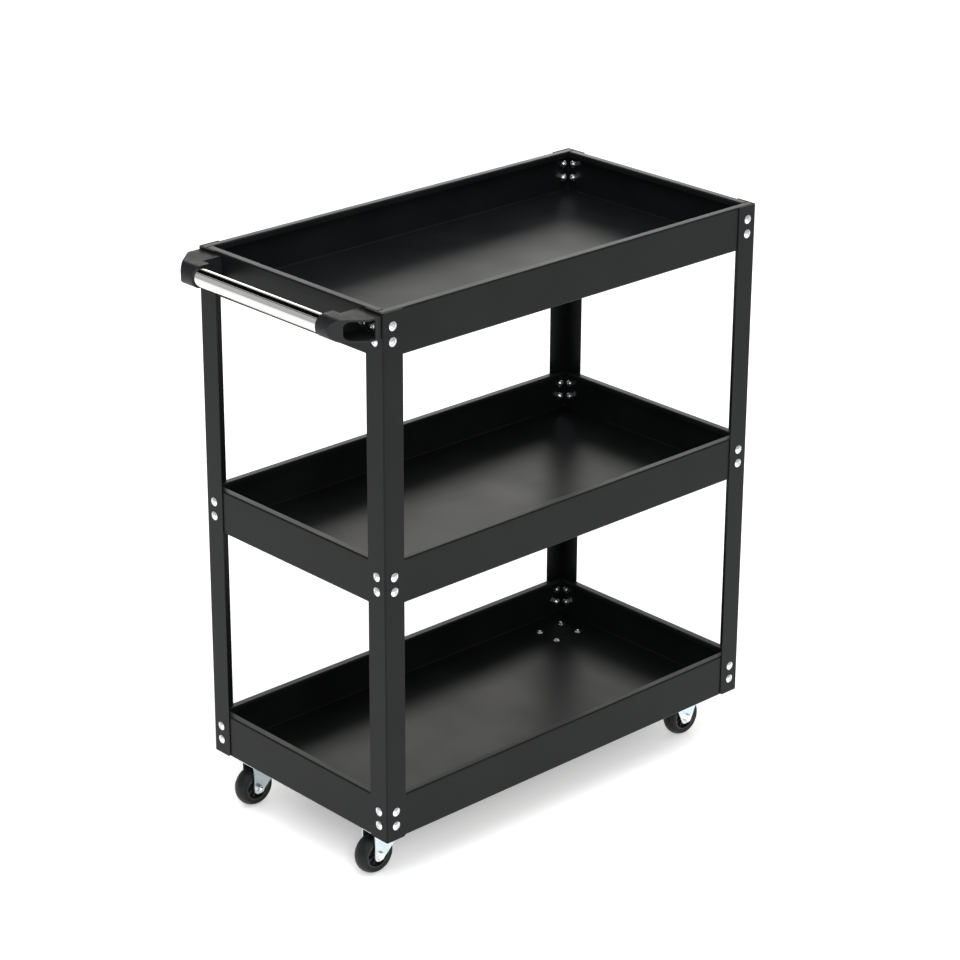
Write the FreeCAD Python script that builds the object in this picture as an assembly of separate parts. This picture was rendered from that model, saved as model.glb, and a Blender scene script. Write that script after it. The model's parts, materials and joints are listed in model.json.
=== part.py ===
import FreeCAD, Part
import os
from math import asin, cos, pi, sin, sqrt, tan
from FreeCAD import Vector

# Three-shelf tool cart: folded steel trays bolted to corner angles, a push handle on moulded
# brackets at one end, two swivel casters under the handle end and two fixed ones under the far end.
# Millimetres. +Z up, floor at Z = 0, handle towards -X, long sides facing -Y (right) and +Y (left).
# The origin is on the floor under the middle of the overall length and width.

# ---- overall sizes ----
overall_length = 720.0      # handle brackets to the far screw heads
body_length = 660.0         # over the corner posts
body_width = 355.0          # over the corner posts
tray_depth = 60.0           # floor underside to rim
shelf_gap = 270.0           # rim to the underside of the tray above
wheel_dia = 56.0

# ---- sheet metal ----
tray_sheet = 1.0
tray_bend = 1.5             # inside radius where the floor turns up into a wall
tray_corner = 1.2           # vertical corner radius outside
hem_width = 12.0            # rim folded inwards
hem_drop = 8.0              # free edge of the rim turned down
hem_bend = 1.2              # inside radius of the rim folds
hem_seam = 0.4              # gap where an end rim butts against a long rim
hem_root = 5.0              # height over which the rim profile overlaps the wall
post_sheet = 1.5
post_flange = 32.0
post_bend = 0.6             # inside radius of the angle
post_tip_round = 4.0        # lower free corners of each flange

# ---- post screws ----
screw_d = 6.0
screw_hole_gap = 0.25
screw_head_d = 12.0
screw_head_h = 2.6
screw_head_edge = 0.6       # straight edge below the dome
screw_recess_w = 1.7
screw_recess_l = 6.4
screw_recess_depth = 1.5
nut_flats = 10.0
nut_h = 5.0
hex_flat_part = 0.75        # share of a nut's or head's height below its chamfer
screw_past_nut = 1.5
screw_inset = 15.5          # from the outside corner of the cart
screw_first = 19.0          # below the rim
screw_pitch = 20.0

# ---- handle ----
tube_d = 24.0
tube_wall = 1.2
socket_wall = 2.5
socket_depth = 13.0
socket_gap = 0.05
bracket_inset = 3.0         # from the side of the cart
bracket_base_w = 12.5       # foot past the free edge of the post
bracket_reach_w = 26.0      # mouth of the socket past the free edge of the post
bracket_side = 20.0         # straight outer side, measured out from the post
bracket_slant = 1.15        # outward run of the slanted corner per unit of inward run
bracket_round = 6.0
bracket_base_t = 3.0
bracket_wall = 2.5
bracket_lip = 9.0           # side wall left standing beside the post
bracket_pad_gap = 0.3       # free edge of the post to the pad on the tray wall
bracket_screw_2 = 3.0       # second screw past the free edge of the post
bracket_screw_gap = 0.4     # bracket to the screw heads below it
tube_below_rim = 18.0

# ---- casters ----
plate_length = 60.0
plate_width = 49.0
plate_sheet = 2.0
plate_corner = 5.0
plate_spacing_x = 44.0
plate_spacing_y = 36.0
caster_inset_y = 53.0       # plate centre from the side of the cart
swivel_inset_x = 46.0       # swivel axis from the handle end of the body
fixed_inset_x = 57.0        # fixed plate centre from the far end of the body
caster_screw_d = 5.0
caster_hex_flats = 8.0
caster_head_d = 11.0
caster_head_h = 2.6
caster_nut_h = 4.0
caster_screw_past_nut = 1.5
trail = 24.0                # axle behind the swivel axis
fork_sheet = 1.6
fork_bend = 1.0
wheel_top_gap = 3.9         # tyre to the swivel fork's crown
race_height = 6.5           # swivel crown to plate
race_d = 38.0
race_bore_d = 18.0
race_skirt = 1.6
race_skirt_gap = 0.8
race_lift = 2.0             # flat of the race above the crown
ball_d = 3.5
ball_sink = 0.35            # how deep the balls sit in the crown
ball_pitch_d = 26.0
ball_count = 16
ball_gap_crown = 0.05
ball_gap_race = 0.3
pin_d = 8.0
pin_head_d = 14.0
pin_head_h = 2.5
running_gap = 0.06          # radial, on every turning fit
pin_head_gap = 0.3
pin_head_chamfer = 0.8
leg_edge = 8.0              # vertical edge of the swivel fork behind the axle
leg_tip = 8.5               # fork below the axle
leg_tip_round = 7.5
slant_run = 8.0             # the slanted edge passes this far ahead of the axle ...
slant_drop = 5.0            # ... at this height below it
crown_nose = 20.0           # crown ahead of the swivel axis
crown_edge = 4.0            # straight edge of the crown before the slant starts
crown_edge_round = 3.0
fixed_crown = 29.0          # half length of the fixed fork's crown
fixed_tip = 7.5             # half width of the fixed fork's leg at its foot
fixed_tip_round = 6.9
rivet_d = 5.0
rivet_head_d = 9.0
rivet_head_h = 1.5
rivet_chamfer = 0.6
rivet_x = 10.0

# ---- wheels ----
wheel_width = 21.0
wheel_side_gap = 1.0        # tyre to each fork leg
hub_rim_inset = 0.5         # hub rim set back from the tyre's side
tyre_shoulder = 3.4         # tread radius less shoulder radius
tyre_side_round = 1.0
hub_d = 38.0
hub_rim = 2.5
hub_web = 6.0
boss_d = 16.0
boss_end_gap = 0.4          # hub boss to the fork leg
axle_d = 6.0
sleeve_d = 8.0
leg_hole_gap = 0.1
axle_head_flats = 10.0
axle_head_h = 4.0
axle_nut_h = 5.0
axle_past_nut = 1.5

# ---- derived heights and positions ----
caster_height = wheel_dia + wheel_top_gap + fork_sheet + race_height + plate_sheet
tray_step = tray_depth + shelf_gap
z_tray = [caster_height, caster_height + tray_step, caster_height + 2 * tray_step]
z_top = z_tray[2] + tray_depth
x_far = overall_length / 2 - screw_head_h
x_near = x_far - body_length
y_side = body_width / 2
handle_reach = overall_length - body_length - screw_head_h
tray_x0 = x_near + post_sheet
tray_x1 = x_far - post_sheet
tray_y = y_side - post_sheet
x_swivel = x_near + swivel_inset_x
x_fixed = x_far - fixed_inset_x
y_caster = y_side - caster_inset_y
z_axle = wheel_dia / 2
z_plate = caster_height - plate_sheet
z_crown = z_plate - race_height
fork_inner = wheel_width + 2 * wheel_side_gap
fork_outer = fork_inner + 2 * fork_sheet
socket_r = tube_d / 2 + socket_wall
x_tube = x_near - handle_reach + socket_r
z_tube = z_top - tube_below_rim
y_post_edge = y_side - post_flange
y_mouth = y_post_edge - bracket_reach_w
y_screw_2 = y_post_edge - bracket_screw_2

X = Vector(1, 0, 0)
Y = Vector(0, 1, 0)
Z = Vector(0, 0, 1)


def outline(points, radii):
    """Closed line through 3-D points in one plane, each corner rounded by its radius."""
    n = len(points)
    starts = []
    ends = []
    mids = []
    for i in range(n):
        here = points[i]
        back = (points[i - 1] - here).normalize()
        ahead = (points[(i + 1) % n] - here).normalize()
        r = radii[i]
        if r <= 0:
            starts.append(here)
            ends.append(here)
            mids.append(None)
            continue
        half = back.getAngle(ahead) / 2
        cut = r / tan(half)
        centre = here + (back + ahead).normalize() * (r / sin(half))
        starts.append(here + back * cut)
        ends.append(here + ahead * cut)
        mids.append(centre + (here - centre).normalize() * r)
    edges = []
    for i in range(n):
        if mids[i] is not None:
            edges.append(Part.Arc(starts[i], mids[i], ends[i]).toShape())
        nxt = starts[(i + 1) % n]
        if ends[i].distanceToPoint(nxt) > 1e-6:
            edges.append(Part.makeLine(ends[i], nxt))
    return Part.Wire(edges)


def prism(points, radii, along):
    if not isinstance(radii, (list, tuple)):
        radii = [radii] * len(points)
    return Part.Face(outline(points, radii)).extrude(along)


def box(x0, x1, y0, y1, z0, z1):
    return Part.makeBox(x1 - x0, y1 - y0, z1 - z0, Vector(x0, y0, z0))


def rod(r, length, start, direction):
    return Part.makeCylinder(r, length, start, direction)


def tube(r_out, r_in, length, start, direction):
    return rod(r_out, length, start, direction).cut(rod(r_in, length, start, direction))


def hexagon(flats, height, start, direction):
    """Hexagonal prism standing on start, with its chamfered far end along direction."""
    r = flats / sqrt(3.0)
    ring = [Vector(r * cos(i * pi / 3), r * sin(i * pi / 3), 0) for i in range(6)]
    body = prism(ring, 0, Z * height)
    cone = Part.makeCone(flats / 2 + height, flats / 2, height)
    body = body.common(cone.fuse(rod(r + 1, height * hex_flat_part, Vector(0, 0, 0), Z)))
    return placed(body, start, direction)


def placed(shape, start, direction):
    turned = shape.copy()
    turned.Placement = FreeCAD.Placement(start, FreeCAD.Rotation(Z, direction))
    return turned


def moved(shape, x, y, z):
    new = shape.copy()
    new.translate(Vector(x, y, z))
    return new


def side_mirror(shape):
    return shape.mirror(Vector(0, 0, 0), Y)


# ---- trays ----
def post_screw_places(z_rim):
    """Head seat, outward direction and place name of the sixteen screws round one tray."""
    places = []
    for z in (z_rim - screw_first, z_rim - screw_first - screw_pitch):
        for sy in (-1, 1):
            for x_end, sx in ((x_near, -1), (x_far, 1)):
                y_on_end = sy * (y_side - screw_inset)
                places.append((Vector(x_end, y_on_end, z), Vector(sx, 0, 0)))
                x_on_side = x_end - sx * screw_inset
                places.append((Vector(x_on_side, sy * y_side, z), Vector(0, sy, 0)))
    return places


def bracket_screw_places():
    z = z_top - screw_first
    return [(Vector(x_near, sy * y_screw_2, z), Vector(-1, 0, 0)) for sy in (-1, 1)]


def caster_places():
    return [(x_swivel, -y_caster), (x_swivel, y_caster), (x_fixed, -y_caster), (x_fixed, y_caster)]


def plate_bolt_places():
    return [(x + i * plate_spacing_x / 2, y + j * plate_spacing_y / 2)
            for x, y in caster_places() for i in (-1, 1) for j in (-1, 1)]


def hem(y_wall, inward, z_rim):
    """Rim profile over one wall in the YZ plane at X = 0: up the wall, across, and down."""
    t = tray_sheet
    z0 = z_rim - hem_bend - t - hem_root
    ys = [0, 0, hem_width, hem_width, hem_width - t, hem_width - t, t, t]
    zs = [z0, z_rim, z_rim, z_rim - hem_drop, z_rim - hem_drop, z_rim - t, z_rim - t, z0]
    pts = [Vector(0, y_wall + inward * a, b) for a, b in zip(ys, zs)]
    outer = hem_bend + t
    return pts, [0, outer, outer, 0, 0, hem_bend, hem_bend, 0]


def tray(z_floor, screws, bolts):
    z_rim = z_floor + tray_depth
    t = tray_sheet
    z_wall = z_rim - hem_bend - t
    shell = box(tray_x0, tray_x1, -tray_y, tray_y, z_floor, z_wall)
    tall = [e for e in shell.Edges if e.BoundBox.ZLength > tray_depth / 2]
    shell = shell.makeFillet(tray_corner, tall)
    low = [e for e in shell.Edges if abs(e.BoundBox.ZMax - z_floor) < 1e-6]
    shell = shell.makeFillet(tray_bend + t, low)
    inner = box(tray_x0 + t, tray_x1 - t, -tray_y + t, tray_y - t, z_floor + t, z_rim)
    low = [e for e in inner.Edges if abs(e.BoundBox.ZMax - z_floor - t) < 1e-6]
    shell = shell.cut(inner.makeFillet(tray_bend, low))
    for sy in (-1, 1):
        pts, radii = hem(sy * tray_y, -sy, z_rim)
        pts = [p + X * tray_x0 for p in pts]
        shell = shell.fuse(prism(pts, radii, X * (tray_x1 - tray_x0)))
    reach = tray_y - hem_width - hem_seam
    for x_wall, inward in ((tray_x0, 1), (tray_x1, -1)):
        pts, radii = hem(0, inward, z_rim)
        flat = [Vector(x_wall + p.y, -reach, p.z) for p in pts]
        shell = shell.fuse(prism(flat, radii, Y * (2 * reach)))
    ring = [Vector(tray_x0, -tray_y, z_floor), Vector(tray_x1, -tray_y, z_floor),
            Vector(tray_x1, tray_y, z_floor), Vector(tray_x0, tray_y, z_floor)]
    shell = shell.common(prism(ring, tray_corner, Z * tray_depth))
    for seat, out in screws:
        start = seat - out * (post_sheet + 2 * t)
        shell = shell.cut(rod(screw_d / 2 + screw_hole_gap, 4 * t, start, out))
    for x, y in bolts:
        hole = rod(caster_screw_d / 2 + screw_hole_gap, 3 * t, Vector(x, y, z_floor - t), Z)
        shell = shell.cut(hole)
    return shell.removeSplitter()


# ---- corner posts ----
def post():
    """Angle with its outside corner on the Z axis, flanges along +X and +Y."""
    f = post_flange
    t = post_sheet
    height = z_top - caster_height
    ring = [Vector(0, 0, 0), Vector(f, 0, 0), Vector(f, t, 0), Vector(t, t, 0), Vector(t, f, 0),
            Vector(0, f, 0)]
    angle = prism(ring, [post_bend + t, 0, 0, post_bend, 0, 0], Z * height)
    r = post_tip_round
    for direction in (Y, X):
        corner = box(f - r, f + 1, -1, t + 1, -1, r)
        keep = rod(r, t + 2, Vector(f - r, -1, r), Y)
        tip = corner.cut(keep)
        if direction == X:
            tip = tip.mirror(Vector(0, 0, 0), Vector(1, -1, 0).normalize())
        angle = angle.cut(tip)
    for z in z_tray:
        for down in (screw_first, screw_first + screw_pitch):
            level = z + tray_depth - down - caster_height
            r_hole = screw_d / 2 + screw_hole_gap
            angle = angle.cut(rod(r_hole, 3 * t, Vector(screw_inset, -t, level), Y))
            angle = angle.cut(rod(r_hole, 3 * t, Vector(-t, screw_inset, level), X))
    return angle


def placed_post(at_far_end, on_left):
    angle = post()
    if at_far_end:
        angle = angle.mirror(Vector(0, 0, 0), X)
    if on_left:
        angle = angle.mirror(Vector(0, 0, 0), Y)
    return moved(angle, x_far if at_far_end else x_near, y_side if on_left else -y_side, caster_height)


# ---- screws and nuts ----
def cross_screw(shank, head_d=screw_head_d, h=screw_head_h, shank_d=screw_d):
    """Round-headed cross-recess screw: head above Z = 0, shank below."""
    r = head_d / 2
    dome = h - screw_head_edge
    sphere = (r * r + dome * dome) / (2 * dome)
    lean = asin(r / sphere) / 2
    mid = Vector(sphere * sin(lean), 0, h - sphere + sphere * cos(lean))
    arc = Part.Arc(Vector(r, 0, screw_head_edge), mid, Vector(0, 0, h)).toShape()
    edges = [Part.makeLine(Vector(0, 0, 0), Vector(r, 0, 0)),
             Part.makeLine(Vector(r, 0, 0), Vector(r, 0, screw_head_edge)), arc,
             Part.makeLine(Vector(0, 0, h), Vector(0, 0, 0))]
    head = Part.Face(Part.Wire(edges)).revolve(Vector(0, 0, 0), Z, 360)
    half_l = screw_recess_l / 2
    half_w = screw_recess_w / 2
    floor = h - screw_recess_depth
    for length, width in ((half_l, half_w), (half_w, half_l)):
        head = head.cut(box(-length, length, -width, width, floor, h + 1))
    return head.fuse(rod(shank_d / 2, shank, Vector(0, 0, -shank), Z)).removeSplitter()


def nut(flats, height, bore, start, direction):
    return hexagon(flats, height, start, direction).cut(rod(bore / 2, height, start, direction))


def in_bracket(seat, out):
    first_row = abs(seat.z - (z_top - screw_first)) < 1e-6
    return out.x < 0 and first_row and seat.z > z_tray[2]


def tray_screws(z_rim):
    grip = post_sheet + tray_sheet + nut_h + screw_past_nut
    screws = []
    for seat, out in post_screw_places(z_rim):
        lift = bracket_base_t if in_bracket(seat, out) else 0.0
        screws.append(placed(cross_screw(grip + lift), seat + out * lift, out))
    return Part.makeCompound(screws)


def tray_nuts(z_rim):
    depth = post_sheet + tray_sheet
    return Part.makeCompound([nut(nut_flats, nut_h, screw_d, seat - out * depth, out * -1)
                              for seat, out in post_screw_places(z_rim)])


def handle_screws():
    shank = bracket_base_t + post_sheet + tray_sheet + nut_h + screw_past_nut
    return Part.makeCompound([placed(cross_screw(shank), seat + out * bracket_base_t, out)
                              for seat, out in bracket_screw_places()])


def handle_nuts():
    depth = post_sheet + tray_sheet
    return Part.makeCompound([nut(nut_flats, nut_h, screw_d, seat - out * depth, out * -1)
                              for seat, out in bracket_screw_places()])


# ---- handle ----
def handle_tube():
    half = y_mouth + socket_depth
    return tube(tube_d / 2, tube_d / 2 - tube_wall, 2 * half, Vector(x_tube, -half, z_tube), Y)


def handle_bracket():
    """Right-hand bracket: foot on the post and tray end, arm with a slanted outer corner,
    and a socket for the tube. A pocket open to the outside gives the screws room."""
    y0 = -y_side + bracket_inset
    y_foot = -y_post_edge + bracket_base_w
    y_end = -y_mouth
    x_tip = x_near - handle_reach
    low = z_tube - socket_r
    side = [Vector(x_near, y0, low), Vector(x_tube, y0, low), Vector(x_tube, y0, low + 2 * socket_r),
            Vector(x_near, y0, low + 2 * socket_r)]
    arm = prism(side, 0, Y * (y_end - y0))
    arm = arm.fuse(rod(socket_r, y_end - y0, Vector(x_tube, y0, z_tube), Y))
    x_side = x_near - bracket_side
    slant_in = (x_side - x_tip) / bracket_slant
    x_notch = x_tube + socket_r
    plan = [Vector(x_near, y0, low), Vector(x_side, y0, low), Vector(x_tip, y0 + slant_in, low),
            Vector(x_tip, y_end, low), Vector(x_notch, y_end, low), Vector(x_notch, y_foot, low),
            Vector(x_near, y_foot, low)]
    radii = [0, bracket_round, bracket_round, 0, 0, 0, 0]
    arm = arm.common(prism(plan, radii, Z * (2 * socket_r)))
    y_pocket = y_end - socket_depth - bracket_wall
    z0 = low + bracket_wall
    z1 = low + 2 * socket_r - bracket_wall
    x_back = x_near - bracket_base_t
    x_front = x_tip + socket_r
    pocket = box(x_front, x_back, y0 + bracket_wall, y_pocket, z0, z1)
    mouth = box(x_tip, x_near - bracket_lip, y0 - 1, y0 + bracket_wall + 1, z0, z1)
    slant_len = x_side - x_front
    corner = [Vector(x_side, y0 - 1, z0), Vector(x_front, y0 - 1, z0),
              Vector(x_front, y0 + slant_len, z0), Vector(x_side, y0 + slant_len, z0)]
    arm = arm.cut(pocket.fuse(mouth).fuse(prism(corner, 0, Z * (z1 - z0))))
    pad_y = -y_post_edge + bracket_pad_gap
    arm = arm.fuse(box(x_near, tray_x0, pad_y, y_foot, low, low + 2 * socket_r))
    socket = rod(tube_d / 2 + socket_gap, socket_depth, Vector(x_tube, y_end - socket_depth, z_tube), Y)
    arm = arm.cut(socket)
    z_screw = z_top - screw_first
    y_screw_1 = -y_side + screw_inset
    for y in (y_screw_1, -y_screw_2):
        start = Vector(x_back - 1, y, z_screw)
        arm = arm.cut(rod(screw_d / 2 + screw_hole_gap, bracket_base_t + post_sheet + 2, start, X))
    low_head = Vector(x_tip, y_screw_1, z_screw - screw_pitch)
    arm = arm.cut(rod(screw_head_d / 2 + bracket_screw_gap, handle_reach, low_head, X))
    return arm.removeSplitter()


# ---- caster plates and their bolts (each caster is built about its own plate centre) ----
def caster_plate(centre_holes):
    half_l = plate_length / 2
    half_w = plate_width / 2
    ring = [Vector(-half_l, -half_w, z_plate), Vector(half_l, -half_w, z_plate),
            Vector(half_l, half_w, z_plate), Vector(-half_l, half_w, z_plate)]
    plate = prism(ring, plate_corner, Z * plate_sheet)
    for i in (-1, 1):
        for j in (-1, 1):
            at = Vector(i * plate_spacing_x / 2, j * plate_spacing_y / 2, z_plate - 1)
            plate = plate.cut(rod(caster_screw_d / 2 + screw_hole_gap, plate_sheet + 2, at, Z))
    for x, r in centre_holes:
        plate = plate.cut(rod(r, plate_sheet + 2, Vector(x, 0, z_plate - 1), Z))
    return plate


def caster_bolts():
    grip = plate_sheet + tray_sheet + caster_nut_h + caster_screw_past_nut
    z = caster_height + tray_sheet
    bolt = cross_screw(grip, caster_head_d, caster_head_h, caster_screw_d)
    return Part.makeCompound([moved(bolt, x, y, z) for x, y in plate_bolt_places()])


def caster_nuts():
    one = nut(caster_hex_flats, caster_nut_h, caster_screw_d, Vector(0, 0, z_plate), Z * -1)
    return Part.makeCompound([moved(one, x, y, 0) for x, y in plate_bolt_places()])


# ---- swivel head ----
def ball_centre_z():
    return z_crown - ball_sink + ball_d / 2


def ball_groove(clearance):
    return Part.makeTorus(ball_pitch_d / 2, ball_d / 2 + clearance, Vector(0, 0, ball_centre_z()))


def swivel_race():
    z_flat = z_crown + race_lift
    ring = tube(race_d / 2, race_bore_d / 2, z_plate - z_flat, Vector(0, 0, z_flat), Z)
    z_skirt = z_crown + race_skirt_gap
    skirt = tube(race_d / 2, race_d / 2 - race_skirt, z_plate - z_skirt, Vector(0, 0, z_skirt), Z)
    return ring.fuse(skirt).cut(ball_groove(ball_gap_race)).removeSplitter()


def ball_ring():
    z = ball_centre_z()
    r = ball_pitch_d / 2
    turns = [2 * pi * i / ball_count for i in range(ball_count)]
    return Part.makeCompound([Part.makeSphere(ball_d / 2, Vector(r * cos(a), r * sin(a), z)) for a in turns])


def kingpin():
    z_head = z_crown - fork_sheet - pin_head_gap
    head = rod(pin_head_d / 2, pin_head_h, Vector(0, 0, z_head - pin_head_h), Z)
    low = [e for e in head.Edges if abs(e.BoundBox.ZMax - z_head + pin_head_h) < 1e-6]
    head = head.makeChamfer(pin_head_chamfer, low)
    return head.fuse(rod(pin_d / 2, caster_height - z_head, Vector(0, 0, z_head), Z)).removeSplitter()


# ---- forks ----
def fork_channel(z_top_face, x0, x1):
    """Inverted channel along X: crown on top, two legs down past the axle."""
    t = fork_sheet
    out = fork_outer / 2
    inn = fork_inner / 2
    foot = z_axle - leg_tip - 1
    ring = [Vector(x0, -out, foot), Vector(x0, -out, z_top_face), Vector(x0, out, z_top_face),
            Vector(x0, out, foot), Vector(x0, inn, foot), Vector(x0, inn, z_top_face - t),
            Vector(x0, -inn, z_top_face - t), Vector(x0, -inn, foot)]
    round_out = fork_bend + t
    return prism(ring, [0, round_out, round_out, 0, 0, fork_bend, fork_bend, 0], X * (x1 - x0))


def axle_holes(fork, x):
    r = axle_d / 2 + leg_hole_gap
    return fork.cut(rod(r, fork_outer + 2, Vector(x, -fork_outer / 2 - 1, z_axle), Y))


def swivel_fork():
    back = -trail - leg_edge
    foot = z_axle - leg_tip
    z_nose = z_crown - crown_edge
    x_pass = -trail + slant_run
    z_pass = z_axle - slant_drop
    slope = (z_nose - z_pass) / (crown_nose - x_pass)
    x_foot = x_pass - (z_pass - foot) / slope
    y = -fork_outer
    side = [Vector(back, y, z_crown), Vector(crown_nose, y, z_crown), Vector(crown_nose, y, z_nose),
            Vector(x_foot, y, foot), Vector(back, y, foot)]
    leg = prism(side, [0, 0, crown_edge_round, leg_tip_round, leg_tip_round], Y * (2 * fork_outer))
    fork = fork_channel(z_crown, back, crown_nose).common(leg)
    crown = rod(race_d / 2, fork_sheet, Vector(0, 0, z_crown - fork_sheet), Z)
    fork = fork.fuse(crown)
    fork = fork.cut(rod(pin_d / 2 + running_gap, fork_sheet + 2, Vector(0, 0, z_crown - fork_sheet - 1), Z))
    fork = fork.cut(ball_groove(ball_gap_crown))
    return axle_holes(fork, -trail).removeSplitter()


def fixed_fork():
    foot = z_axle - leg_tip
    y = -fork_outer
    z_edge = z_plate - crown_edge
    side = [Vector(-fixed_crown, y, z_plate), Vector(fixed_crown, y, z_plate),
            Vector(fixed_crown, y, z_edge), Vector(fixed_tip, y, foot), Vector(-fixed_tip, y, foot),
            Vector(-fixed_crown, y, z_edge)]
    radii = [0, 0, crown_edge_round, fixed_tip_round, fixed_tip_round, crown_edge_round]
    leg = prism(side, radii, Y * (2 * fork_outer))
    fork = fork_channel(z_plate, -fixed_crown, fixed_crown).common(leg)
    for x in (-rivet_x, rivet_x):
        fork = fork.cut(rod(rivet_d / 2, fork_sheet + 2, Vector(x, 0, z_plate - fork_sheet - 1), Z))
    return axle_holes(fork, 0).removeSplitter()


def fixed_rivets():
    z = z_plate - fork_sheet
    rivets = []
    for x in (-rivet_x, rivet_x):
        head = rod(rivet_head_d / 2, rivet_head_h, Vector(x, 0, z - rivet_head_h), Z)
        low = [e for e in head.Edges if abs(e.BoundBox.ZMax - z + rivet_head_h) < 1e-6]
        head = head.makeChamfer(rivet_chamfer, low)
        rivets.append(head.fuse(rod(rivet_d / 2, caster_height - z, Vector(x, 0, z), Z)).removeSplitter())
    return Part.makeCompound(rivets)


# ---- axles and wheels (axle line through x, z_axle along Y) ----
def axle_bolt(x):
    seat = -fork_outer / 2
    length = fork_outer + axle_nut_h + axle_past_nut
    head = hexagon(axle_head_flats, axle_head_h, Vector(x, seat, z_axle), Y * -1)
    return head.fuse(rod(axle_d / 2, length, Vector(x, seat, z_axle), Y)).removeSplitter()


def axle_nut(x):
    return nut(axle_head_flats, axle_nut_h, axle_d, Vector(x, fork_outer / 2, z_axle), Y)


def axle_sleeve(x):
    return tube(sleeve_d / 2, axle_d / 2, fork_inner, Vector(x, -fork_inner / 2, z_axle), Y)


def spun(points, x):
    """Revolve a (radius, along) polygon about the axle line."""
    ring = [Vector(r, a, 0) for r, a in points]
    return moved(Part.Face(Part.makePolygon(ring + ring[:1])).revolve(Vector(0, 0, 0), Y, 360), x, 0, z_axle)


def wheel_hub(x):
    half = wheel_width / 2 - hub_rim_inset
    boss = fork_inner / 2 - boss_end_gap
    r_in = hub_d / 2 - hub_rim
    web = hub_web / 2
    bore = sleeve_d / 2 + running_gap
    right = [(bore, -boss), (boss_d / 2, -boss), (boss_d / 2, -web), (r_in, -web), (r_in, -half),
             (hub_d / 2, -half)]
    left = [(r, -a) for r, a in reversed(right)]
    return spun(right + left, x)


def tyre(x):
    half = wheel_width / 2
    r = wheel_dia / 2
    shoulder = r - tyre_shoulder
    inner = hub_d / 2
    c = tyre_side_round
    low = Vector(shoulder, -half + c, 0)
    crown = Part.Arc(low, Vector(r, 0, 0), Vector(shoulder, half - c, 0)).toShape()
    pts = [Vector(shoulder, half - c, 0), Vector(shoulder - c, half, 0), Vector(inner, half, 0),
           Vector(inner, -half, 0), Vector(shoulder - c, -half, 0), Vector(shoulder, -half + c, 0)]
    edges = [crown] + [Part.makeLine(a, b) for a, b in zip(pts, pts[1:])]
    return moved(Part.Face(Part.Wire(edges)).revolve(Vector(0, 0, 0), Y, 360), x, 0, z_axle)


# ---- write every piece ----
def build():
    z_rims = [z + tray_depth for z in z_tray]
    bracket = handle_bracket()
    nodes = {
        "tray_bottom": tray(z_tray[0], post_screw_places(z_rims[0]), plate_bolt_places()),
        "tray_middle": tray(z_tray[1], post_screw_places(z_rims[1]), []),
        "tray_top": tray(z_tray[2], post_screw_places(z_rims[2]) + bracket_screw_places(), []),
        "post_front_right": placed_post(False, False),
        "post_front_left": placed_post(False, True),
        "post_rear_right": placed_post(True, False),
        "post_rear_left": placed_post(True, True),
        "handle_tube": handle_tube(),
        "handle_bracket_right": bracket,
        "handle_bracket_left": side_mirror(bracket),
        "handle_screws": handle_screws(),
        "handle_nuts": handle_nuts(),
        "caster_bolts": caster_bolts(),
        "caster_nuts": caster_nuts(),
    }
    for name, z_rim in zip(("bottom", "middle", "top"), z_rims):
        nodes["post_screws_" + name] = tray_screws(z_rim)
        nodes["post_nuts_" + name] = tray_nuts(z_rim)
    swivel = {
        "swivel_plate": caster_plate([(0, pin_d / 2)]),
        "swivel_race": swivel_race(),
        "swivel_balls": ball_ring(),
        "swivel_kingpin": kingpin(),
        "swivel_fork": swivel_fork(),
    }
    fixed = {
        "fixed_plate": caster_plate([(-rivet_x, rivet_d / 2), (rivet_x, rivet_d / 2)]),
        "fixed_fork": fixed_fork(),
        "fixed_rivets": fixed_rivets(),
    }
    for end, pieces, x_axle, x_caster in (("front", swivel, -trail, x_swivel), ("rear", fixed, 0, x_fixed)):
        running = {
            "axle_bolt": axle_bolt(x_axle),
            "axle_nut": axle_nut(x_axle),
            "axle_sleeve": axle_sleeve(x_axle),
            "wheel_hub": wheel_hub(x_axle),
            "tyre": tyre(x_axle),
        }
        for side, sy in (("right", -1), ("left", 1)):
            for name, shape in pieces.items():
                nodes[name + "_" + side] = moved(shape, x_caster, sy * y_caster, 0)
            for name, shape in running.items():
                turned = shape if sy < 0 else side_mirror(shape)
                nodes[name + "_" + end + "_" + side] = moved(turned, x_caster, sy * y_caster, 0)
    return nodes


os.makedirs("parts", exist_ok=True)
for node, shape in build().items():
    shape.exportStep("parts/" + node + ".step")
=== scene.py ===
import bmesh
import bpy
import json
from math import asin, cos, pi, radians, sin, sqrt, tan
from mathutils import Matrix, Quaternion, Vector

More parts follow.
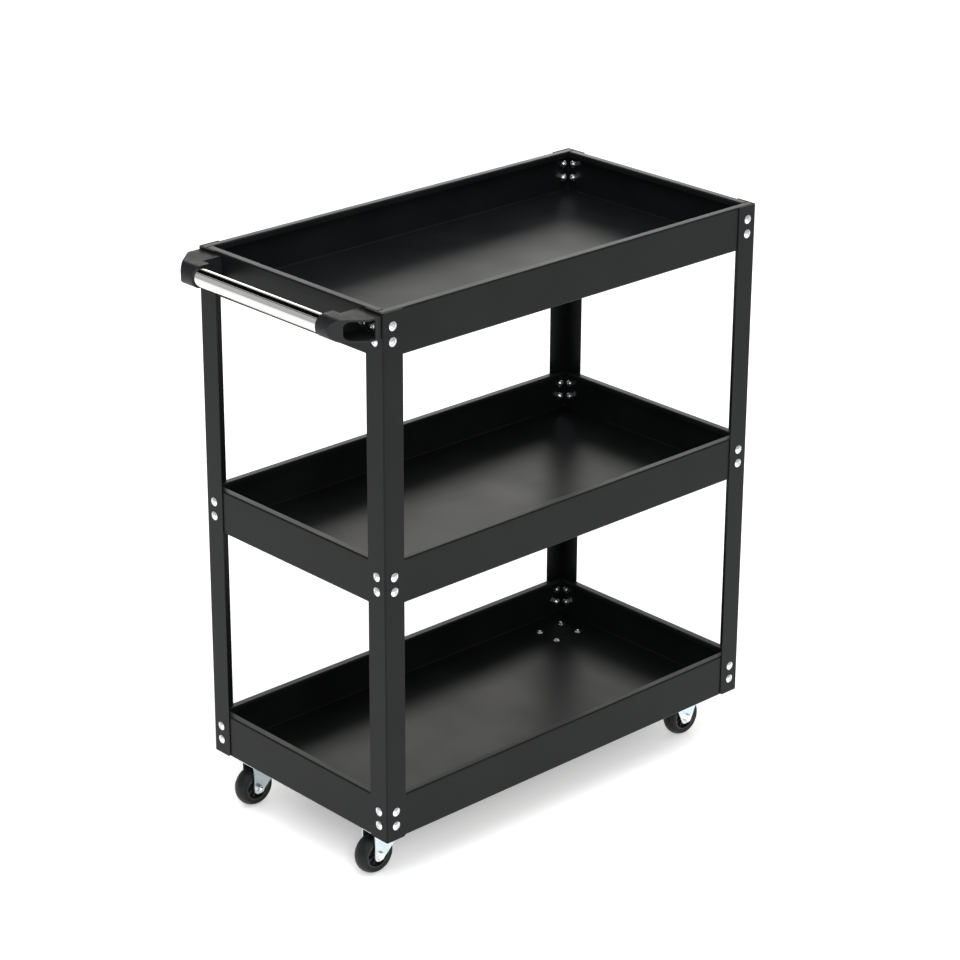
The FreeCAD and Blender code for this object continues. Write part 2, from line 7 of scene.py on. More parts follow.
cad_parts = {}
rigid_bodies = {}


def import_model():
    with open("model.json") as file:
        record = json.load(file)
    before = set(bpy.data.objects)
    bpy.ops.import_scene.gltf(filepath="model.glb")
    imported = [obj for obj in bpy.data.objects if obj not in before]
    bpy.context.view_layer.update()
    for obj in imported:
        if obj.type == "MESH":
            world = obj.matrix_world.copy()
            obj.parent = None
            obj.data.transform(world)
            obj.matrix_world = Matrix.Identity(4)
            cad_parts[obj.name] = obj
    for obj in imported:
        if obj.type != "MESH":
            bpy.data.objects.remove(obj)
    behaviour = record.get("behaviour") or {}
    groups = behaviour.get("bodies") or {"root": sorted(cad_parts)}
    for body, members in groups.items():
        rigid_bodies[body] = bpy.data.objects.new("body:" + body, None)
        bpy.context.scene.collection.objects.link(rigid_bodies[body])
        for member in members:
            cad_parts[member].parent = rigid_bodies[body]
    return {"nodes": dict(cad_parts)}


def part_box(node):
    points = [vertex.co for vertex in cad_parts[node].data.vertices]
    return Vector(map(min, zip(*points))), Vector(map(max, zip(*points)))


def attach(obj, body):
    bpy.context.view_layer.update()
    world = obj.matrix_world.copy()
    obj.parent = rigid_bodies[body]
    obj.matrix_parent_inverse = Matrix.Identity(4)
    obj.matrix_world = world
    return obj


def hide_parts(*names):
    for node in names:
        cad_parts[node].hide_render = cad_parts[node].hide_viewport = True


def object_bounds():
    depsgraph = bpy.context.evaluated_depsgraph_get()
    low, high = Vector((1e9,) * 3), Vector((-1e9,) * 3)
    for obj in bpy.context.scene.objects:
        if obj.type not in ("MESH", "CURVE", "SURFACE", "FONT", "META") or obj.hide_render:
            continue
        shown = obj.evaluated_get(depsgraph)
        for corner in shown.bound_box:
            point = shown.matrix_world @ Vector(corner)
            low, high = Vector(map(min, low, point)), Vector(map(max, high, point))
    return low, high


# Looks of a three-shelf tool cart: folded and powder-coated steel trays on four corner angles,
# a chromed push handle in moulded brackets, and four zinc-plated casters with rubber tyres.
# Metres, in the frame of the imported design; MM turns workshop millimetres into metres.
MM = 0.001
DOUBLED = 0.002 * MM        # points closer than this are one point
SIDES = ("right", "left")

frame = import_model()
cad_low, cad_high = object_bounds()
bpy.ops.object.select_all(action="DESELECT")


# -------------------------------- workbench
def only(*objects):
    """Selects these objects and nothing else; the first is the active one."""
    bpy.ops.object.select_all(action="DESELECT")
    for each in objects:
        each.select_set(True)
    bpy.context.view_layer.objects.active = objects[0]


def named(name):
    """Gives the piece just made its name, with its place and size moved into its mesh."""
    piece = bpy.context.object
    only(piece)
    bpy.ops.object.transform_apply(location=True, rotation=True, scale=True)
    piece.name = name
    piece.data.name = name
    return piece


def block(name, low, high):
    """A cube primitive between two corners."""
    low = Vector(low)
    high = Vector(high)
    bpy.ops.mesh.primitive_cube_add(size=1, location=(low + high) / 2)
    bpy.context.object.scale = high - low
    return named(name)


def open_edit(piece):
    only(piece)
    bpy.ops.object.mode_set(mode="EDIT")


def close_edit():
    bpy.ops.object.mode_set(mode="OBJECT")


def pick(kind, test):
    """In edit mode, selects the vertices, edges or faces that pass the test."""
    bpy.ops.mesh.select_mode(type=kind)
    bpy.ops.mesh.select_all(action="DESELECT")
    mesh = bmesh.from_edit_mesh(bpy.context.edit_object.data)
    mesh.normal_update()
    for item in {"VERT": mesh.verts, "EDGE": mesh.edges, "FACE": mesh.faces}[kind]:
        if test(item):
            item.select_set(True)
    mesh.select_flush_mode()
    bmesh.update_edit_mesh(bpy.context.edit_object.data)


def middle(edge):
    return (edge.verts[0].co + edge.verts[1].co) / 2


def runs(edge, axis):
    """Whether an edge runs along X, Y or Z (0, 1 or 2)."""
    step = edge.verts[1].co - edge.verts[0].co
    return abs(step[axis]) > 0.99 * step.length


def near(a, b, slack=0.02 * MM):
    return abs(a - b) < slack


def merge_skin():
    """In edit mode, merges doubled points and makes all faces agree."""
    bpy.ops.mesh.select_all(action="SELECT")
    bpy.ops.mesh.remove_doubles(threshold=DOUBLED)
    bpy.ops.mesh.normals_make_consistent(inside=False)


def heal(piece):
    """Merges doubled points and turns every face of a closed piece outwards."""
    open_edit(piece)
    merge_skin()
    close_edit()


def face_outwards(inward):
    """In edit mode, makes an open skin's faces agree, then turns them if one looks inwards."""
    merge_skin()
    mesh = bmesh.from_edit_mesh(bpy.context.edit_object.data)
    if any(inward(face) for face in mesh.faces):
        bpy.ops.mesh.flip_normals()


def modify(piece, kind, **settings):
    """Adds one modifier with its settings and applies it."""
    only(piece)
    modifier = piece.modifiers.new(kind.title(), kind)
    for key, value in settings.items():
        setattr(modifier, key, value)
    bpy.ops.object.modifier_apply(modifier=modifier.name)


def carve(piece, tool, operation="DIFFERENCE"):
    """Cuts away, joins on or keeps only what a tool solid covers, then removes the tool."""
    modify(piece, "BOOLEAN", object=tool, operation=operation, solver="EXACT")
    bpy.data.objects.remove(tool)


def break_edges(piece, width, segments=2, angle=40):
    """The small break that pressing, tumbling or moulding leaves on every sharp edge."""
    modify(piece, "BEVEL", width=width, segments=segments, limit_method="ANGLE",
           angle_limit=radians(angle), use_clamp_overlap=True, harden_normals=False)


def smooth(piece, angle=35):
    """Smooth shading over gentle bends, with flat faces kept flat."""
    only(piece)
    bpy.ops.object.shade_smooth_by_angle(angle=radians(angle))
    modify(piece, "WEIGHTED_NORMAL", keep_sharp=True, weight=80)


def turned(name, profile, steps=48, ring=False):
    """Lathe work about Z: a circle, then ring after ring extruded to the next (radius, height).
    A ring profile comes back to its first point; any other is closed by its two end faces."""
    radius, height = profile[0]
    bpy.ops.mesh.primitive_circle_add(vertices=steps, radius=radius, location=(0, 0, height),
                                      fill_type="NOTHING" if ring else "NGON")
    piece = named(name)
    open_edit(piece)
    bpy.ops.mesh.select_mode(type="EDGE")
    bpy.ops.mesh.select_all(action="SELECT")
    stations = profile + profile[:1] if ring else profile
    for (r0, h0), (r1, h1) in zip(stations, stations[1:]):
        bpy.ops.mesh.extrude_region_move(TRANSFORM_OT_translate={"value": (0, 0, h1 - h0)})
        bpy.ops.transform.resize(value=(r1 / r0, r1 / r0, 1), center_override=(0, 0, h1))
    close_edit()
    heal(piece)
    return piece


def mm(*points):
    """Profile points given in millimetres."""
    return [(a * MM, b * MM) for a, b in points]


def arc(centre, radius, start, end, steps):
    """Points along an arc, from one angle in degrees to another, both ends included."""
    turns = [radians(start + (end - start) * i / steps) for i in range(steps + 1)]
    return [(centre[0] + radius * cos(t), centre[1] + radius * sin(t)) for t in turns]


def aim(direction, spin=0.0):
    """Turn that takes +Z to a direction, after a spin about the piece's own axis."""
    turn = Vector((0, 0, 1)).rotation_difference(Vector(direction)).to_matrix().to_4x4()
    return turn @ Matrix.Rotation(spin, 4, "Z")


def copy_of(piece, name, place):
    """A copy with its own mesh, set at a place (a matrix), with that place in its mesh."""
    only(piece)
    bpy.ops.object.duplicate()
    bpy.context.object.matrix_world = place
    return named(name)


def group(name, pieces):
    """Joins loose parts of one kind into one piece."""
    only(*pieces)
    bpy.ops.object.join()
    return named(name)


def scrap(*patterns):
    """Throws away the patterns that copies were made from."""
    for pattern in patterns:
        bpy.data.objects.remove(pattern)


# -------------------------------- finishes
def linear(code):
    """sRGB hex to the renderer's linear colour."""
    levels = [int(code[i:i + 2], 16) / 255 for i in (1, 3, 5)]
    return tuple(c / 12.92 if c <= 0.04045 else ((c + 0.055) / 1.055) ** 2.4
                 for c in levels) + (1,)


def per_metre(size_mm):
    """Texture scale for a pattern whose features are this many millimetres across."""
    return 1 / (size_mm * MM)


def add(tree, kind, feeds=None, **settings):
    """Adds one node with its settings; feeds are socket values or the sockets linked in."""
    node = tree.nodes.new("ShaderNode" + kind)
    for key, value in settings.items():
        setattr(node, key, value)
    for key, value in (feeds or {}).items():
        if isinstance(value, bpy.types.NodeSocket):
            tree.links.new(value, node.inputs[key])
        else:
            node.inputs[key].default_value = value
    return node


# Most of a noise pattern's values lie between these two.
MIDDLING = {"From Min": 0.3, "From Max": 0.7}


def new_material(name):
    """A material with an emptied tree, and the piece's own coordinates to draw patterns in."""
    material = bpy.data.materials.new(name)
    material.use_nodes = True
    tree = material.node_tree
    tree.nodes.clear()
    return material, tree, add(tree, "TexCoord").outputs["Object"]


def powder_coat():
    """Polyester powder, sprayed on degreased steel and baked: a satin black skin about 70 microns
    thick. The eye sees a faint orange peel in the highlights and slightly duller patches where
    hands have been."""
    material, tree, place = new_material("black_polyester_powder_coat_baked")
    # Real peel is 1 to 2 mm across: drawn coarser, so that it shows.
    peel = add(tree, "TexNoise", {"Vector": place, "Scale": per_metre(2.6), "Detail": 2.0,
                                  "Roughness": 0.45})
    fine = add(tree, "TexNoise", {"Vector": place, "Scale": per_metre(0.7), "Detail": 1.0})
    patches = add(tree, "TexNoise", {"Vector": place, "Scale": per_metre(90), "Detail": 4.0,
                                     "Roughness": 0.55})
    tint = add(tree, "ValToRGB", {"Fac": patches.outputs["Fac"]})
    tint.color_ramp.elements[0].position = 0.35
    tint.color_ramp.elements[0].color = linear("#0f1011")
    tint.color_ramp.elements[1].position = 0.7
    tint.color_ramp.elements[1].color = linear("#151617")
    dull = add(tree, "MapRange", {"Value": patches.outputs["Fac"], **MIDDLING,
                                  "To Min": 0.33, "To Max": 0.4})
    waves = add(tree, "Bump", {"Height": peel.outputs["Fac"], "Strength": 0.25,
                               "Distance": 0.05 * MM})
    grain = add(tree, "Bump", {"Height": fine.outputs["Fac"], "Strength": 0.12,
                               "Distance": 0.02 * MM, "Normal": waves.outputs["Normal"]})
    skin = add(tree, "BsdfPrincipled", {
        "Base Color": tint.outputs["Color"], "Roughness": dull.outputs["Result"],
        "IOR": 1.46, "Specular IOR Level": 0.16, "Normal": grain.outputs["Normal"]})
    add(tree, "OutputMaterial", {"Surface": skin.outputs["BSDF"]})
    return material


def metal(name, marks, cloud, stops, gloss, dents, stretch=(1.0, 1.0, 1.0)):
    """Metal with a clouded tint, and marks that break up its gloss and its surface. Marks and
    cloud are (size in millimetres, detail), dents (strength, depth in millimetres)."""
    material, tree, place = new_material(name)
    drawn = add(tree, "Mapping", {"Vector": place, "Scale": stretch}).outputs["Vector"]
    fine = add(tree, "TexNoise", {"Vector": drawn, "Scale": per_metre(marks[0]),
                                  "Detail": marks[1]}).outputs["Fac"]
    broad = add(tree, "TexNoise", {"Vector": place, "Scale": per_metre(cloud[0]),
                                   "Detail": cloud[1]}).outputs["Fac"]
    tint = add(tree, "ValToRGB", {"Fac": broad})
    for end, (position, code) in zip(tint.color_ramp.elements, stops):
        end.position = position
        end.color = linear(code)
    shine = add(tree, "MapRange", {"Value": fine, **MIDDLING, "To Min": gloss[0],
                                   "To Max": gloss[1]})
    relief = add(tree, "Bump", {"Height": fine, "Strength": dents[0], "Distance": dents[1] * MM})
    skin = add(tree, "BsdfPrincipled", {
        "Base Color": tint.outputs["Color"], "Metallic": 1.0,
        "Roughness": shine.outputs["Result"], "Normal": relief.outputs["Normal"]})
    add(tree, "OutputMaterial", {"Surface": skin.outputs["BSDF"]})
    return material


def bright_zinc():
    """Steel fasteners, cold headed, barrel plated and tumbled in bright zinc: white metal with
    soft tumbling marks, so each head has a slightly different gloss."""
    return metal("bright_zinc_plated_steel_tumbled", (1.6, 3.0), (30, 1.0),
                 ((0, "#dfe3e6"), (1, "#f1f3f4")), (0.18, 0.3), (0.2, 0.03))


def blue_zinc():
    """Pressed sheet steel, rack plated in zinc with a blue passivate: pale blue-white metal with
    the sheet's rolling grain and a cloudy, very slight blue to yellow cast."""
    return metal("blue_passivated_zinc_plated_pressed_steel", (9, 4.0), (14, 3.0),
                 ((0.3, "#c9dae4"), (0.72, "#e6ebe6")), (0.3, 0.44), (0.15, 0.02),
                 stretch=(1.0, 14.0, 14.0))


def greased_steel():
    """Bearing steel, ground or rolled, with a film of grease: darker grey metal, wet-looking,
    with fine turning marks."""
    return metal("bearing_steel_ground_and_greased", (1.2, 3.0), (6, 2.0),
                 ((0, "#8d8f90"), (1, "#b9bbbb")), (0.2, 0.34), (0.15, 0.01))


def chrome():
    """Steel tube, polished and plated with bright nickel and chromium: a near mirror with the
    last traces of the polishing mop running round the tube."""
    return metal("chromium_plated_steel_tube_polished", (6, 3.0), (40, 2.0),
                 ((0, "#e6e5e1"), (1, "#f2f1ee")), (0.05, 0.1), (0.06, 0.01),
                 stretch=(1.0, 9.0, 1.0))


def moulded_nylon():
    """Glass-filled nylon, injection moulded in a spark-eroded tool: charcoal black, matt, with
    the tool's fine pitting and a little greyness where the filler comes to the surface."""
    material, tree, place = new_material("black_glass_filled_nylon_moulded")
    # Spark pits are 0.2 mm across: drawn coarser, so that they show.
    pits = add(tree, "TexNoise", {"Vector": place, "Scale": per_metre(0.9), "Detail": 2.0,
                                  "Roughness": 0.6})
    filler = add(tree, "TexNoise", {"Vector": place, "Scale": per_metre(12), "Detail": 4.0})
    tint = add(tree, "ValToRGB", {"Fac": filler.outputs["Fac"]})
    tint.color_ramp.elements[0].position = 0.3
    tint.color_ramp.elements[0].color = linear("#0c0d0e")
    tint.color_ramp.elements[1].position = 0.75
    tint.color_ramp.elements[1].color = linear("#141517")
    gloss = add(tree, "MapRange", {"Value": filler.outputs["Fac"], **MIDDLING,
                                   "To Min": 0.46, "To Max": 0.58})
    texture = add(tree, "Bump", {"Height": pits.outputs["Fac"], "Strength": 0.35,
                                 "Distance": 0.06 * MM})
    skin = add(tree, "BsdfPrincipled", {
        "Base Color": tint.outputs["Color"], "Roughness": gloss.outputs["Result"],
        "IOR": 1.53, "Specular IOR Level": 0.3, "Normal": texture.outputs["Normal"]})
    add(tree, "OutputMaterial", {"Surface": skin.outputs["BSDF"]})
    return material


def hub_plastic():
    """Polypropylene, injection moulded in a polished tool: waxy black plastic with faint flow
    marks round the axle."""
    material, tree, place = new_material("black_polypropylene_moulded")
    flow = add(tree, "TexNoise", {"Vector": place, "Scale": per_metre(7), "Detail": 3.0,
                                  "Distortion": 0.8})
    tint = add(tree, "ValToRGB", {"Fac": flow.outputs["Fac"]})
    tint.color_ramp.elements[0].color = linear("#141516")
    tint.color_ramp.elements[1].color = linear("#1f2022")
    gloss = add(tree, "MapRange", {"Value": flow.outputs["Fac"], **MIDDLING,
                                   "To Min": 0.34, "To Max": 0.46})
    ripple = add(tree, "Bump", {"Height": flow.outputs["Fac"], "Strength": 0.1,
                                "Distance": 0.05 * MM})
    skin = add(tree, "BsdfPrincipled", {
        "Base Color": tint.outputs["Color"], "Roughness": gloss.outputs["Result"],
        "IOR": 1.49, "Normal": ripple.outputs["Normal"]})
    add(tree, "OutputMaterial", {"Surface": skin.outputs["BSDF"]})
    return material


def tyre_rubber():
    """Thermoplastic rubber, moulded on the hub: dark grey, satin, with a fine skin texture and a
    little dust rubbed into the tread."""
    material, tree, place = new_material("dark_grey_thermoplastic_rubber_moulded")
    skin_marks = add(tree, "TexNoise", {"Vector": place, "Scale": per_metre(0.8), "Detail": 3.0})
    dust = add(tree, "TexNoise", {"Vector": place, "Scale": per_metre(9), "Detail": 5.0,
                                  "Roughness": 0.6})
    tint = add(tree, "ValToRGB", {"Fac": dust.outputs["Fac"]})
    tint.color_ramp.elements[0].position = 0.35
    tint.color_ramp.elements[0].color = linear("#101112")
    tint.color_ramp.elements[1].position = 0.75
    tint.color_ramp.elements[1].color = linear("#1a1b1c")
    gloss = add(tree, "MapRange", {"Value": dust.outputs["Fac"], **MIDDLING,
                                   "To Min": 0.42, "To Max": 0.56})
    texture = add(tree, "Bump", {"Height": skin_marks.outputs["Fac"], "Strength": 0.2,
                                 "Distance": 0.04 * MM})
    skin = add(tree, "BsdfPrincipled", {
        "Base Color": tint.outputs["Color"], "Roughness": gloss.outputs["Result"],
        "IOR": 1.52, "Specular IOR Level": 0.22, "Normal": texture.outputs["Normal"]})
    add(tree, "OutputMaterial", {"Surface": skin.outputs["BSDF"]})
    return material


def studio_floor():
    """Opal acrylic sheet lit softly from below, as on a light table: near white and matt, with
    a trace of sanding, so that shadows on it stay pale."""
    material, tree, place = new_material("white_opal_acrylic_sheet_sanded")
    sanding = add(tree, "TexNoise", {"Vector": place, "Scale": per_metre(6), "Detail": 2.0})
    tint = add(tree, "ValToRGB", {"Fac": sanding.outputs["Fac"]})
    tint.color_ramp.elements[0].color = linear("#f0f0ef")
    tint.color_ramp.elements[1].color = linear("#f4f4f3")
    skin = add(tree, "BsdfPrincipled", {"Base Color": tint.outputs["Color"], "Roughness": 0.7,
                                        "Specular IOR Level": 0.2, "Emission Strength": 0.42,
                                        "Emission Color": tint.outputs["Color"]})
    add(tree, "OutputMaterial", {"Surface": skin.outputs["BSDF"]})
    return material


FINISH = {
    "black_powder_coat": powder_coat(),
    "bright_zinc_fastener": bright_zinc(),
    "zinc_plated_pressing": blue_zinc(),
    "plain_steel": greased_steel(),
    "chromed_tube": chrome(),
    "moulded_plastic": moulded_nylon(),
    "hub_plastic": hub_plastic(),
    "tyre_rubber": tyre_rubber(),
}


def dress(piece, slot, body, *nodes):
    """Gives a finished piece its material and its body, and hides the design nodes it stands for.
    """
    piece.data.materials.clear()
    piece.data.materials.append(FINISH[slot])
    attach(piece, body)
    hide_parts(*nodes)
    return piece


# -------------------------------- trays
SHEET = 1.0 * MM
FOLD = 2.5 * MM             # outside radius from floor to wall
CORNER = 2.7 * MM           # outside radius of the upright corners
RIM_FOLD = 2.2 * MM         # outside radius of both folds of a rim
RIM_WIDTH = 12 * MM
RIM_DROP = 8 * MM           # how far a rim turns down, from its top
RIM_SEAM = 0.4 * MM         # gap where two rims meet at a corner


def folded_tray(name, low, high):
    """A cube opened at the top, its corners and floor edges bent, its rims folded in and down,
    and then given the sheet's thickness. Each rim stops at the corner, as a folded blank's
    does."""
    wall_top = high.z - RIM_FOLD
    tray = block(name, low, (high.x, high.y, wall_top))
    open_edit(tray)
    pick("FACE", lambda f: f.normal.z > 0.9)
    bpy.ops.mesh.delete(type="FACE")
    pick("EDGE", lambda e: runs(e, 2))
    bpy.ops.mesh.bevel(offset=CORNER, segments=3)
    pick("EDGE", lambda e: near(e.verts[0].co.z, low.z) and near(e.verts[1].co.z, low.z))
    bpy.ops.mesh.bevel(offset=FOLD, segments=5)
    reach = high.y - RIM_WIDTH - RIM_SEAM
    for y in (-reach, reach):
        bpy.ops.mesh.select_all(action="SELECT")
        bpy.ops.mesh.bisect(plane_co=(0, y, 0), plane_no=(0, 1, 0))
    flat = RIM_WIDTH - RIM_FOLD
    path = arc((RIM_FOLD, 0), RIM_FOLD, 180, 90, 5) + arc((flat, 0), RIM_FOLD, 90, 0, 5)
    path.append((RIM_WIDTH, RIM_FOLD - RIM_DROP))
    for axis, wall, inward in ((1, low.y, 1), (1, high.y, -1), (0, low.x, 1), (0, high.x, -1)):
        pick("EDGE", lambda e: near(middle(e).z, wall_top) and near(middle(e)[axis], wall)
             and runs(e, 1 - axis) and (axis == 1 or abs(middle(e).y) < reach))
        for (a0, b0), (a1, b1) in zip(path, path[1:]):
            step = [0, 0, b1 - b0]
            step[axis] = inward * (a1 - a0)
            bpy.ops.mesh.extrude_edges_move(TRANSFORM_OT_translate={"value": step})
    for end, outward in ((low.x, -1), (high.x, 1)):
        pick("VERT", lambda v: v.co.z > wall_top + SHEET / 2 and abs(v.co.y) > reach
             and near(v.co.x, end - outward * CORNER))
        bpy.ops.transform.translate(value=(outward * (CORNER - SHEET), 0, 0))
    face_outwards(lambda f: f.normal.z > 0 and near(f.calc_center_median().z, low.z))
    close_edit()
    modify(tray, "SOLIDIFY", thickness=SHEET, offset=-1, use_even_offset=True,
           use_quality_normals=True)
    break_edges(tray, 0.22 * MM, angle=60)
    smooth(tray)
    return tray


LEVELS = ("bottom", "middle", "top")
for level in LEVELS:
    tray = folded_tray("tray_" + level + "_folded_sheet", *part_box("tray_" + level))
    dress(tray, "black_powder_coat", "frame", "tray_" + level)


# -------------------------------- corner posts
POST_SHEET = 1.5 * MM
POST_FOLD = 2.1 * MM        # outside radius of the angle's fold
POST_TIP = 4 * MM           # radius of the free lower corners


def corner_angle(name, low, high):
    """The two outer walls of a cube, folded at their shared edge, with rounded lower tips."""
    post = block(name, low, high)
    open_edit(post)
    pick("FACE", lambda f: f.normal.x > -0.9 and f.normal.y > -0.9)
    bpy.ops.mesh.delete(type="FACE")
    pick("VERT", lambda v: near(v.co.z, low.z) and (near(v.co.x, high.x) or near(v.co.y, high.y)))
    bpy.ops.mesh.bevel(affect="VERTICES", offset=POST_TIP, segments=6)
    pick("EDGE", lambda e: runs(e, 2) and near(middle(e).x, low.x) and near(middle(e).y, low.y))
    bpy.ops.mesh.bevel(offset=POST_FOLD, segments=5)
    face_outwards(lambda f: f.normal.x > 0.9)
    close_edit()
    modify(post, "SOLIDIFY", thickness=POST_SHEET, offset=-1, use_even_offset=True)
    break_edges(post, 0.25 * MM, angle=60)
    smooth(post)
    return post


post_low, post_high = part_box("post_front_right")
far_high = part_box("post_rear_left")[1]
cart_middle = Vector(((post_low.x + far_high.x) / 2, (post_low.y + far_high.y) / 2, 0))
pattern_post = corner_angle("corner_angle", post_low, post_high)
corners = (("front_right", 0), ("rear_right", 90), ("rear_left", 180), ("front_left", 270))
for corner, turn in corners:
    low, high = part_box("post_" + corner)
    outside = Vector((low.x if low.x < cart_middle.x else high.x,
                      low.y if low.y < cart_middle.y else high.y, 0))
    place = (Matrix.Translation(outside) @ Matrix.Rotation(radians(turn), 4, "Z")
             @ Matrix.Translation((-post_low.x, -post_low.y, 0)))
    post = copy_of(pattern_post, "post_" + corner + "_angle", place)
    dress(post, "black_powder_coat", "frame", "post_" + corner)
scrap(pattern_post)

# -------------------------------- screws and nuts
SCREW = 6.0 * MM
HEAD = 12.0 * MM
HEAD_RISE = 2.55 * MM
HEAD_EDGE = 0.6 * MM        # upright edge under the dome
CROSS_ARM = 1.7 * MM
CROSS_SPAN = 6.4 * MM
CROSS_DEPTH = 1.5 * MM
CROSS_TAPER = 0.6           # foot of the cross against its mouth
PITCH = 1.0 * MM
THREAD_DEPTH = 0.5          # of the pitch
CREST = (0.45, 0.55)        # where a turn's flat crest starts and ends, of the pitch
LEAD_IN = 0.4 * MM          # blunt start before a thread's first turn
NUT_FLATS = 10.0 * MM
NUT_HEIGHT = 5.0 * MM
PAST_NUT = 1.5 * MM         # screw end showing beyond its nut
HEX_FACE = 0.94             # turned-off face of a hexagon against its flats
GOLDEN = radians(137.5)     # turn from one screw's cross to the next, so that no two agree


def thread(radius, start, turns, pitch):
    """Ring after ring of a thread's crests and roots, going up from a start height."""
    root = radius - THREAD_DEPTH * pitch
    points = []
    for i in range(turns):
        at = start + i * pitch
        points += [(root, at)] + [(radius, at + part * pitch) for part in CREST]
    return points + [(root, start + turns * pitch)]


def cross_cutter(width, length, depth, top):
    """Driver cross: a square bar with an arm extruded from each side, narrower at its foot."""
    half = width / 2
    cutter = block("cross_cutter", (-half, -half, top - depth), (half, half, top + depth))
    open_edit(cutter)
    for axis in (0, 1):
        for side in (-1, 1):
            pick("FACE", lambda f: f.normal[axis] * side > 0.9
                 and abs(f.calc_center_median()[1 - axis]) < half / 2)
            step = [0, 0, 0]
            step[axis] = side * (length / 2 - half)
            bpy.ops.mesh.extrude_region_move(TRANSFORM_OT_translate={"value": step})
    pick("FACE", lambda f: f.normal.z < -0.9)
    bpy.ops.transform.resize(value=(CROSS_TAPER, CROSS_TAPER, 1),
                             center_override=(0, 0, top - depth))
    close_edit()
    return cutter


def round_head_screw(name, shank, head=HEAD, thick=SCREW):
    """Domed head with a cross recess above Z = 0, threaded shank below."""
    radius = head / 2
    dome = HEAD_RISE - HEAD_EDGE
    ball = (radius ** 2 + dome ** 2) / (2 * dome)
    crown = [(max(ball * sin(t), 0.4 * MM), HEAD_RISE - ball + ball * cos(t))
             for t in [asin(radius / ball) * (5 - i) / 5 for i in range(6)]]
    rings = thread(thick / 2, -shank + LEAD_IN, 4, PITCH)
    profile = [(thick / 2 - 0.9 * MM, -shank)] + rings
    profile += [(thick / 2, rings[-1][1] + 0.5 * PITCH), (thick / 2, 0), (radius - 0.2 * MM, 0),
                (radius, 0.2 * MM)] + crown
    screw = turned(name, profile, steps=32)
    carve(screw, cross_cutter(CROSS_ARM, CROSS_SPAN, CROSS_DEPTH, HEAD_RISE))
    break_edges(screw, 0.12 * MM, angle=50)
    smooth(screw)
    return screw


def hex_blank(name, flats, height):
    """Hexagon from Z = 0 up, its top corners turned off to a shallow cone."""
    corner = flats / sqrt(3)
    bpy.ops.mesh.primitive_cylinder_add(vertices=6, radius=corner, depth=height,
                                        location=(0, 0, height / 2))
    blank = named(name)
    face = HEX_FACE * flats / 2
    cone = (corner - face) * 0.55
    wide = corner * 1.1
    cone_blank = turned("chamfer_blank", [(wide, -MM), (wide, height - cone * 1.3),
                                          (face, height), (face * 0.5, height)])
    carve(blank, cone_blank, "INTERSECT")
    return blank


def hex_nut(name, flats, height, bore):
    """Hexagon bored through, the mouth of the bore countersunk."""
    nut = hex_blank(name, flats, height)
    core = bore / 2 - 0.3 * MM
    mouth = bore / 2 + 0.3 * MM
    drill = turned("drill", [(core, -MM), (core, height - 0.6 * MM), (mouth, height),
                             (mouth + MM, height + MM)], steps=32)
    carve(nut, drill)
    break_edges(nut, 0.15 * MM, angle=50)
    smooth(nut, 30)
    return nut


def hex_bolt(name, flats, head, diameter, length, turns, pitch):
    """Hexagon head above Z = 0 and a threaded shank below."""
    bolt = hex_blank(name, flats, head)
    rings = thread(diameter / 2, -length + LEAD_IN, turns, pitch)
    shank = turned("shank", [(diameter / 2 - 0.8 * MM, -length)] + rings
                   + [(diameter / 2, rings[-1][1] + pitch / 2), (diameter / 2, head / 2)],
                   steps=32)
    carve(bolt, shank, "UNION")
    break_edges(bolt, 0.15 * MM, angle=50)
    smooth(bolt, 30)
    return bolt


body_low_x = post_low.x
body_high_x = far_high.x
side_y = far_high.y
INSET = 15.5 * MM           # screws in from the cart's corner
FIRST = 19 * MM             # upper row under the rim
ROW = 20 * MM               # lower row under the upper
BRACKET_FOOT = 3.0 * MM     # thickness of a handle bracket's foot
SECOND = post_high.y + 3.0 * MM     # handle screw past the free edge of the post


def screw_seats(rim):
    """Seat and outward direction of the sixteen screws round one tray."""
    seats = []
    for z in (rim - FIRST, rim - FIRST - ROW):
        for side in (-1, 1):
            for x_end, out in ((body_low_x, -1), (body_high_x, 1)):
                seats += [(Vector((x_end, side * (side_y - INSET), z)), Vector((out, 0, 0))),
                          (Vector((x_end - out * INSET, side * side_y, z)), Vector((0, side, 0)))]
    return seats


def set_out(pattern, seats, first=0):
    """A copy of the pattern on every seat, each turned on from the one before."""
    return [copy_of(pattern, pattern.name + "_" + str(i),
                    Matrix.Translation(at) @ aim(out, i * GOLDEN))
            for i, (at, out) in enumerate(seats, first)]


def fasten(node, kind, loose):
    """Joins loose fasteners into the dressed piece that stands for a design node."""
    dress(group(node + kind, loose), "bright_zinc_fastener", "frame", node)


def shifted(seats, rise):
    """The same seats moved out along their screws."""
    return [(at + out * rise, out) for at, out in seats]


def inside(seats):
    """Where nuts sit: behind the post and the tray's wall, facing the other way."""
    return [(at - out * (POST_SHEET + SHEET), -out) for at, out in seats]


